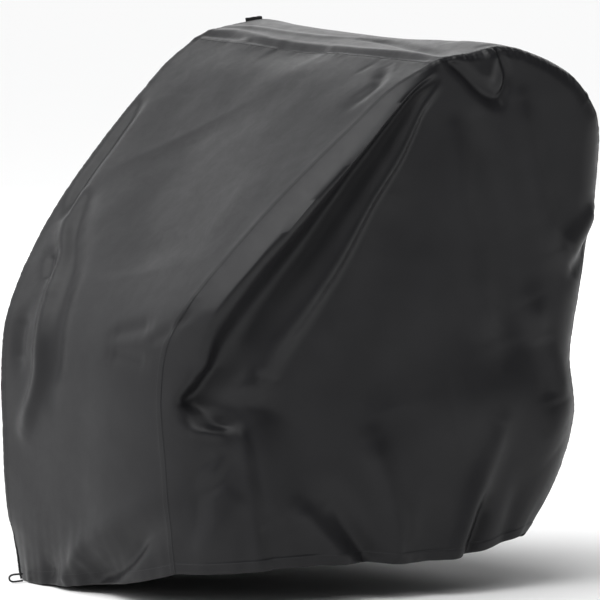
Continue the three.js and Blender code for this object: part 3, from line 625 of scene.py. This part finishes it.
# Meshes
SHARP_ANGLE = 60  # edges that turn by more than this many degrees are shaded sharp
CLOTH_UV = "cloth_metres"


def make_object(name, vertices, faces, material, uv=None):
    """A piece of the cover from points in millimetres, with its place on the flat cloth if given."""
    mesh = bpy.data.meshes.new(name)
    mesh.from_pydata((np.asarray(vertices) + SHIFT) / 1000, [], faces)
    mesh.validate()
    if uv is not None:
        layer = mesh.uv_layers.new(name=CLOTH_UV)
        index = np.empty(len(mesh.loops), int)
        mesh.loops.foreach_get("vertex_index", index)
        layer.data.foreach_set("uv", (uv[index] / 1000).ravel())
    mesh.shade_smooth()
    mesh.set_sharp_from_angle(angle=math.radians(SHARP_ANGLE))
    mesh.materials.append(material)
    piece = add_object(name, mesh)
    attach(piece, "root")
    return piece


def grid_faces(rows, columns, start=0, flip=False):
    """The four-sided faces of a grid of points, numbered from start."""
    at = start + np.arange(rows * columns).reshape(rows, columns)
    quads = np.stack([at[:-1, :-1], at[:-1, 1:], at[1:, 1:], at[1:, :-1]], axis=-1).reshape(-1, 4)
    return (quads[:, ::-1] if flip else quads).tolist()


def sheet_object(name, middle, normals, thick, facing, material):
    """A closed thin sheet from its middle surface; gives the piece and its outer face."""
    rows, columns = middle.shape[:2]
    count = rows * columns
    half = normals * thick[..., None] / 2
    outer, inner = middle + half, middle - half
    faces = grid_faces(rows, columns, 0, facing < 0) + grid_faces(rows, columns, count, facing > 0)
    at = np.arange(count).reshape(rows, columns)
    rim = np.concatenate([at[0, :-1], at[:-1, -1], at[-1, :0:-1], at[:0:-1, 0]])
    after = np.roll(rim, -1)
    sides = np.stack([rim, rim + count, after + count, after], axis=-1)
    faces += (sides if facing > 0 else sides[:, ::-1]).tolist()
    along = np.cumsum(np.linalg.norm(np.diff(middle, axis=1, prepend=middle[:, :1]), axis=2), axis=1)
    up = np.cumsum(np.linalg.norm(np.diff(middle, axis=0, prepend=middle[:1]), axis=2), axis=0)
    along -= along[:, columns // 2][:, None]
    uv = np.stack([along, up], axis=-1).reshape(-1, 2)
    points = np.vstack([outer.reshape(-1, 3), inner.reshape(-1, 3)])
    return make_object(name, points, faces, material, np.vstack([uv, uv])), outer


# A stitch: how far apart and how long, how thick and how flattened, how far it stands out of the cloth
STITCH = {"pitch": 4.2, "length": 3.2, "thick": 0.62, "flatter": 0.7, "raised": 0.15, "sides": 5}
STITCH_RINGS = [(-0.5, 0.25), (-0.3, 1), (0.3, 1), (0.5, 0.25)]  # share of its length, of its thickness


def stitch_object(name, rows, material):
    """Lock stitches in rows: each a short plump thread, pointed into the cloth at both ends."""
    sides = STITCH["sides"]
    turn = np.linspace(0, 2 * np.pi, sides, endpoint=False)
    vertices, faces = [], []
    for line, facing_out in rows:
        along = lengths(line)
        at = np.arange(STITCH["pitch"], along[-1] - STITCH["pitch"], STITCH["pitch"])
        centres = read_columns(line, along, at)
        normals = unit(read_columns(facing_out, along, at))
        tangents = unit(read_columns(line, along, at + 1) - centres)
        for centre, normal, tangent, side in zip(centres, normals, tangents, np.cross(normals, tangents)):
            first = len(vertices)
            for place, size in STITCH_RINGS:
                for a in turn:
                    out = math.sin(a) * STITCH["flatter"] + STITCH["raised"]
                    around = side * math.cos(a) + normal * out
                    vertices.append(
                        centre + tangent * place * STITCH["length"] + around * STITCH["thick"] / 2 * size)
            rings = [range(first + k * sides, first + (k + 1) * sides) for k in range(len(STITCH_RINGS))]
            for lower, upper in zip(rings, rings[1:]):
                faces += [(lower[k - 1], lower[k], upper[k], upper[k - 1]) for k in range(sides)]
            faces += [tuple(rings[0][::-1]), tuple(rings[-1])]
    piece = make_object(name, vertices, faces, material)
    return piece


NEVER_ALONG_CORD = [1.0, 0.05, 0.0]  # a direction that the cord never takes, to measure its sides from


def tube(name, line, radius, sides, material):
    """A round cord along a line, closed at both ends."""
    along = lengths(line)
    tangent = unit(np.gradient(line, axis=0))
    side = unit(np.cross(tangent, NEVER_ALONG_CORD))
    lift = np.cross(side, tangent)
    turn = np.linspace(0, 2 * np.pi, sides + 1)
    ring = side[:, None] * np.cos(turn)[None, :, None] + lift[:, None] * np.sin(turn)[None, :, None]
    grid = line[:, None] + ring * radius
    uv = np.stack(np.broadcast_arrays(turn[None] * radius, along[:, None]), axis=-1).reshape(-1, 2)
    faces = grid_faces(len(line), sides + 1, 0, True)
    last = (len(line) - 1) * (sides + 1)
    faces += [tuple(range(sides)), tuple(last + k for k in range(sides - 1, -1, -1))]
    return make_object(name, grid.reshape(-1, 3), faces, material, uv)


# Materials, with the sizes of their patterns
THREAD_PITCH = 0.9  # threads are 0.3 mm apart, drawn as coarse as they need to show
HANDLING_CREASE = 26  # from one small crease to the next
SLUB = 90  # patches of thicker and thinner threads, a little lighter and darker
THREAD_TWIST = 0.5  # plies and loose hairs of the sewing thread
BRAID_PITCH = 1.3  # one strand of the sleeve
RIB_PITCH = 0.8  # ribs of the ribbon, drawn a little coarse so that they show


def linear(code):
    """An sRGB hex colour as linear light."""
    parts = (int(code[k:k + 2], 16) / 255 for k in (1, 3, 5))
    return (*(c / 12.92 if c <= 0.04045 else ((c + 0.055) / 1.055) ** 2.4 for c in parts), 1.0)


def new_material(name):
    """A material and its shader."""
    material = bpy.data.materials.new(name)
    material.use_nodes = True
    return material, material.node_tree.nodes["Principled BSDF"]


def node(material, kind, sockets, **settings):
    """Adds a node: its own settings, and each socket's value or the output linked to it."""
    made = material.node_tree.nodes.new(kind)
    for key, value in settings.items():
        setattr(made, key, value)
    for key, value in sockets.items():
        if isinstance(value, bpy.types.NodeSocket):
            material.node_tree.links.new(value, made.inputs[key])
        else:
            made.inputs[key].default_value = value
    return made


def wave_angle(material, axis, repeat):
    """The angle of a wave across (0) or up (1) the cloth that repeats every so many millimetres."""
    place = node(material, "ShaderNodeUVMap", {}, uv_map=CLOTH_UV)
    parts = node(material, "ShaderNodeSeparateXYZ", {0: place.outputs[0]})
    turns = 2 * math.pi / (repeat / 1000)
    angle = node(material, "ShaderNodeMath", {0: parts.outputs[axis], 1: turns}, operation="MULTIPLY")
    return angle.outputs[0]


def coated_polyester():
    """Plain-woven polyester with a smooth polyurethane coating: near black, with broad soft
    highlights, faint threads under the coating and small handling creases."""
    material, shader = new_material("coated_woven_polyester")
    link = material.node_tree.links.new
    angles = [wave_angle(material, axis, 2 * THREAD_PITCH) for axis in (0, 1)]
    waves = [node(material, "ShaderNodeMath", {0: angle}, operation="SINE") for angle in angles]
    weave = node(
        material, "ShaderNodeMath", {k: wave.outputs[0] for k, wave in enumerate(waves)},
        operation="MULTIPLY")
    place = node(material, "ShaderNodeTexCoord", {}).outputs["Object"]
    creases = node(material, "ShaderNodeTexNoise", {
        "Vector": place, "Scale": 1000 / HANDLING_CREASE, "Detail": 4.0, "Roughness": 0.62,
        "Distortion": 0.6,
    }).outputs[0]
    slubs = node(material, "ShaderNodeTexNoise", {
        "Vector": place, "Scale": 1000 / SLUB, "Detail": 2.0, "Roughness": 0.5,
    }).outputs[0]
    fine = node(material, "ShaderNodeBump", {
        "Height": weave.outputs[0], "Strength": 0.3, "Distance": 0.00005,
    })
    bump = node(material, "ShaderNodeBump", {
        "Height": creases, "Normal": fine.outputs[0], "Strength": 0.3, "Distance": 0.0006,
    })
    tone = node(material, "ShaderNodeMapRange", {"Value": slubs, "From Min": 0.3, "From Max": 0.7})
    colour = node(
        material, "ShaderNodeMix", {0: tone.outputs[0], 6: linear("#171719"), 7: linear("#1b1b1d")},
        data_type="RGBA")
    gloss = node(material, "ShaderNodeMapRange", {
        "Value": creases, "From Min": 0.3, "From Max": 0.7, "To Min": 0.38, "To Max": 0.46,
    })
    link(colour.outputs[2], shader.inputs["Base Color"])
    link(gloss.outputs[0], shader.inputs["Roughness"])
    link(bump.outputs[0], shader.inputs["Normal"])
    shader.inputs["IOR"].default_value = 1.33
    return material


def sewing_thread():
    """Spun polyester thread, dyed black: matt, a little hairy, so it shows as short dull dashes."""
    material, shader = new_material("spun_polyester_thread")
    place = node(material, "ShaderNodeTexCoord", {}).outputs["Object"]
    twist = node(material, "ShaderNodeTexNoise", {
        "Vector": place, "Scale": 1000 / THREAD_TWIST, "Detail": 1.0,
    })
    bump = node(material, "ShaderNodeBump", {
        "Height": twist.outputs[0], "Strength": 0.5, "Distance": 0.0001,
    })
    shader.inputs["Base Color"].default_value = linear("#303133")
    shader.inputs["Roughness"].default_value = 0.7
    shader.inputs["IOR"].default_value = 1.5
    material.node_tree.links.new(bump.outputs[0], shader.inputs["Normal"])
    return material


def braided_elastic():
    """Rubber cord in a braided black polyester sleeve: a fine herringbone, matt."""
    material, shader = new_material("braided_elastic_cord")
    around, along = (wave_angle(material, axis, BRAID_PITCH) for axis in (0, 1))
    leans = [
        node(material, "ShaderNodeMath", {0: around, 1: along}, operation=lean)
        for lean in ("ADD", "SUBTRACT")
    ]
    waves = [node(material, "ShaderNodeMath", {0: lean.outputs[0]}, operation="SINE") for lean in leans]
    braid = node(
        material, "ShaderNodeMath", {k: wave.outputs[0] for k, wave in enumerate(waves)},
        operation="MULTIPLY").outputs[0]
    bump = node(material, "ShaderNodeBump", {"Height": braid, "Strength": 0.8, "Distance": 0.0003})
    # Painted shade: the colour follows the braid's height, darker in the hollows between strands and
    # lighter on their crowns
    tone = node(material, "ShaderNodeMapRange", {"Value": braid, "From Min": -1})
    colour = node(
        material, "ShaderNodeMix", {0: tone.outputs[0], 6: linear("#0f1011"), 7: linear("#1c1d1f")},
        data_type="RGBA")
    material.node_tree.links.new(colour.outputs[2], shader.inputs["Base Color"])
    material.node_tree.links.new(bump.outputs[0], shader.inputs["Normal"])
    shader.inputs["Roughness"].default_value = 0.75
    shader.inputs["IOR"].default_value = 1.5
    return material


def woven_ribbon():
    """Black polyester ribbon, tightly woven in fine ribs, with a low silky sheen."""
    material, shader = new_material("woven_polyester_ribbon")
    angle = wave_angle(material, 1, RIB_PITCH)
    ribs = node(material, "ShaderNodeMath", {0: angle}, operation="SINE")
    bump = node(material, "ShaderNodeBump", {
        "Height": ribs.outputs[0], "Strength": 0.6, "Distance": 0.00012,
    })
    shader.inputs["Base Color"].default_value = linear("#18181a")
    shader.inputs["Roughness"].default_value = 0.6
    shader.inputs["IOR"].default_value = 1.5
    shader.inputs["Sheen Weight"].default_value = 0.15
    shader.inputs["Sheen Roughness"].default_value = 0.4
    material.node_tree.links.new(bump.outputs[0], shader.inputs["Normal"])
    return material


def matt_paper():
    """Uncoated white paper, pressed smooth: a pale ground that takes shadows and mirrors nothing."""
    material, shader = new_material("pale_matt_paper")
    shader.inputs["Base Color"].default_value = linear("#f4f4f4")
    shader.inputs["Roughness"].default_value = 0.95
    shader.inputs["Specular IOR Level"].default_value = 0.0
    return material


cloth, thread, elastic, ribbon = coated_polyester(), sewing_thread(), braided_elastic(), woven_ribbon()

# The cover's panels, each a closed sheet of cloth, thicker where the hem is turned
for name, panel in panels.items():
    above = above_hem(panel, panel["sewn"])
    turned = smoothstep(above, *HEM_FOLD) * (1 - smoothstep(above, *HEM_END))
    thick = SHEET + (HEM_THICK - SHEET) * turned
    piece, panel["face"] = sheet_object(
        "cloth_" + name, panel["sewn"], panel["normals"], thick, panel["facing"], cloth)
    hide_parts(name)


# Stitches


def stitch_row(name, where):
    """A line of a panel's outer face, with the way the cloth faces along it."""
    return panels[name]["face"][where], panels[name]["normals"][where]


row_lines = [EDGE.index(row) for row in ROW_AT]
seam_rows = [
    stitch_row(name, (slice(None), column))
    for name in ("front_panel", "roof_and_back_panel") for k in row_lines for column in (k, -1 - k)
]
seam_rows += [stitch_row("roof_and_back_panel", k) for k in row_lines]
stitch_object("seam_stitching", seam_rows, thread)
hem_line = HEM_EDGE.index(HEM_ROW_AT)
hem_rows = [stitch_row(name, from_hem(panel, hem_line)) for name, panel in panels.items()]
stitch_object("hem_stitching", hem_rows, thread)


def solid_box(name):
    """The low and high corner of a solid in the frame, in the cloth's millimetres."""
    return [np.array(corner) * 1000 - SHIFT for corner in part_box(name)]


# The hem's loop of elastic cord, from inside the hem out to its tip and back below
CORD = {"thick": 3.4, "sides": 14, "into_hem": 9, "steps": 10}
low, high = solid_box("hem_loop")
radius = CORD["thick"] / 2
middle_x = (low[0] + high[0]) / 2
tip, top, bottom = low[1] + radius, high[2] - radius, low[2] + radius
root = high[1] + CORD["into_hem"]
route = smooth_line([
    (middle_x + 0.4, root, top), (middle_x, root - 6, top + 0.1), (middle_x - 0.6, tip + 6, top - 0.6),
    (middle_x - 0.5, tip + 1, top - 3.2), (middle_x, tip, (top + bottom) / 2),
    (middle_x + 0.4, tip + 1.2, bottom + 2.6), (middle_x + 0.3, tip + 6, bottom + 0.1),
    (middle_x, root - 6, bottom), (middle_x, root, bottom + 0.2),
], CORD["steps"])
loop = tube("hem_loop_cord", route, radius, CORD["sides"], elastic)
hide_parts("hem_loop")

# The bare label tab: a ribbon folded over and sewn into the roof's far edge. How far its two layers
# gape, it leans out, sinks into the seam and sways along its width, and its cut length in heights
TAB = {
    "thick": 0.5, "gape": 0.75, "lean": 1.6, "sink": 2.0, "sway": 0.8, "sway_angle": 3.4, "cut": 2.2,
    "points_along": 25, "points_up": 9,
}
# Half of its section: share of its height, share of the gape, up one layer and over the fold
TAB_LAYER = np.linspace((0, 0.5), (0.86, 1.1), TAB["points_up"])
TAB_FOLD = [(0.94, 0.95), (0.985, 0.55)]
low, high = solid_box("label_tab")
base = panels["roof_and_back_panel"]["face"][roof_rows, 0]
places = np.linspace(low[1], high[1], TAB["points_along"])
foot = read_columns(base, base[:, 1], places)
height = high[2] - foot[:, 2].max() + TAB["sink"]
half = np.vstack([TAB_LAYER, TAB_FOLD])
up, over = np.vstack([half, [(1, 0)], half[::-1] * (1, -1)]).T[..., None]
sway = TAB["sway"] * np.sin(np.linspace(0, TAB["sway_angle"], len(places))) * up
out = TAB["gape"] * over - TAB["lean"] * up**2 + sway
tab_grid = foot + np.stack(np.broadcast_arrays(out, 0, height * up - TAB["sink"]), axis=-1)
tab, _ = sheet_object(
    "label_tab_ribbon", tab_grid, grid_normals(tab_grid, 1), np.full(tab_grid.shape[:2], TAB["thick"]),
    1, ribbon)
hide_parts("label_tab")

# The floor, a wide disc, in metres
FLOOR = {"reach": 40.0, "sides": 96, "height": -0.0005}
floor_mesh = bpy.data.meshes.new("floor")
ring = np.linspace(0, 2 * np.pi, FLOOR["sides"], endpoint=False)
floor_mesh.from_pydata(
    [(FLOOR["reach"] * math.cos(a), FLOOR["reach"] * math.sin(a), FLOOR["height"]) for a in ring], [],
    [tuple(range(FLOOR["sides"]))])
floor_mesh.materials.append(matt_paper())
floor = add_object("floor", floor_mesh)

# Light and the pale surroundings. The sun: azimuth, elevation, spread in degrees, strength. The
# softboxes: azimuth, elevation, distance and size in metres, watts
SUN = (-8, 66, 60, 3.2)
SOFTBOXES = {
    "left_softbox": (-52, 20, 7, (10, 5), 184),
    "front_softbox": (6, 14, 7, (6, 5), 90),
    "roof_softbox": (-104, 38, 7, (5, 4), 34),
    "back_softbox": (-125, 18, 9, (10, 4), 210),
    "right_softbox": (75, 47, 7, (4, 4), 85),
}
SURROUNDINGS = {"colour": "#f6f7f8", "strength": 0.13}

world = bpy.data.worlds.new("studio")
bpy.context.scene.world = world
world.use_nodes = True
world.node_tree.nodes["Background"].inputs[0].default_value = linear(SURROUNDINGS["colour"])
world.node_tree.nodes["Background"].inputs[1].default_value = SURROUNDINGS["strength"]


def sun(name, azimuth, elevation, spread, strength):
    """A wide soft light from far away."""
    data = bpy.data.lights.new(name, "SUN")
    data.angle, data.energy = math.radians(spread), strength
    stand_around(add_object(name, data), azimuth, elevation)


def softbox(name, azimuth, elevation, distance, size, watts):
    """A flat lit panel that the camera doesn't see."""
    data = bpy.data.lights.new(name, "AREA")
    data.shape, data.size, data.size_y, data.energy = "RECTANGLE", *size, watts
    light = add_object(name, data)
    stand_around(light, azimuth, elevation, distance)
    light.visible_camera = False


sun("high_light", *SUN)
for name, box in SOFTBOXES.items():
    softbox(name, *box)
bpy.context.scene.view_settings.view_transform = "Standard"
